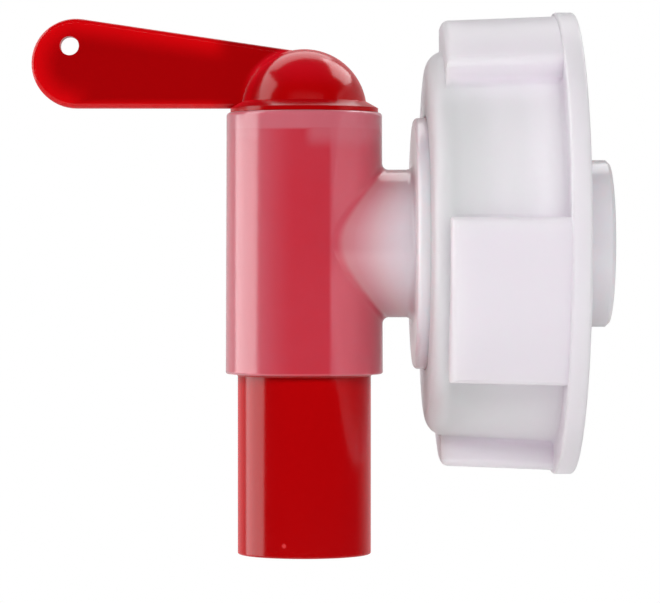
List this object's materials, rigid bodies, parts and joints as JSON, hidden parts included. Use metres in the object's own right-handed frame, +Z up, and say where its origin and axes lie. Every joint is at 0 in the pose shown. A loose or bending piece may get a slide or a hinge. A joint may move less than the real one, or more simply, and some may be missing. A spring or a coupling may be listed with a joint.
{
  "type": "canister tap",
  "caption": "Plastic tap for a canister: a loose lobed union nut clamps a T-shaped body, and a lever with a swivelling spout and plug opens and shuts it.",
  "frame": {"origin": "on the inlet axis, in the gasket's sealing face", "axes": "+X along the inlet axis into the canister, +Z up along the plug's axis, lever along -X when the tap is open"},
  "size_m": [0.096, 0.0768, 0.0901],
  "materials": {
    "milky_body": "translucent milky polyethylene, satin",
    "gasket": "soft foamed gasket, matt",
    "red_plastic": "red moulded plastic, semi-gloss",
    "ring_rubber": "soft rubber, matt",
    "milky_nut": "translucent milky polyethylene, satin"
  },
  "bodies": {
    "tap_body": {"tap_body": "milky_body", "flange_gasket": "gasket"},
    "plug": {"plug": "red_plastic", "upper_seal_ring": "ring_rubber", "lower_seal_ring": "ring_rubber"},
    "union_nut": {"union_nut": "milky_nut"}
  },
  "joints": [
    {"name": "plug_turn", "type": "hinge", "parent": "tap_body", "child": "plug", "pos_m": [-0.0272, 0, 0], "axis": [0, 0, 1], "range_deg": [-90, 90]},
    {"name": "nut_spin", "type": "hinge", "parent": "tap_body", "child": "union_nut", "pos_m": [0, 0, 0], "axis": [1, 0, 0], "continuous": true}
  ]
}
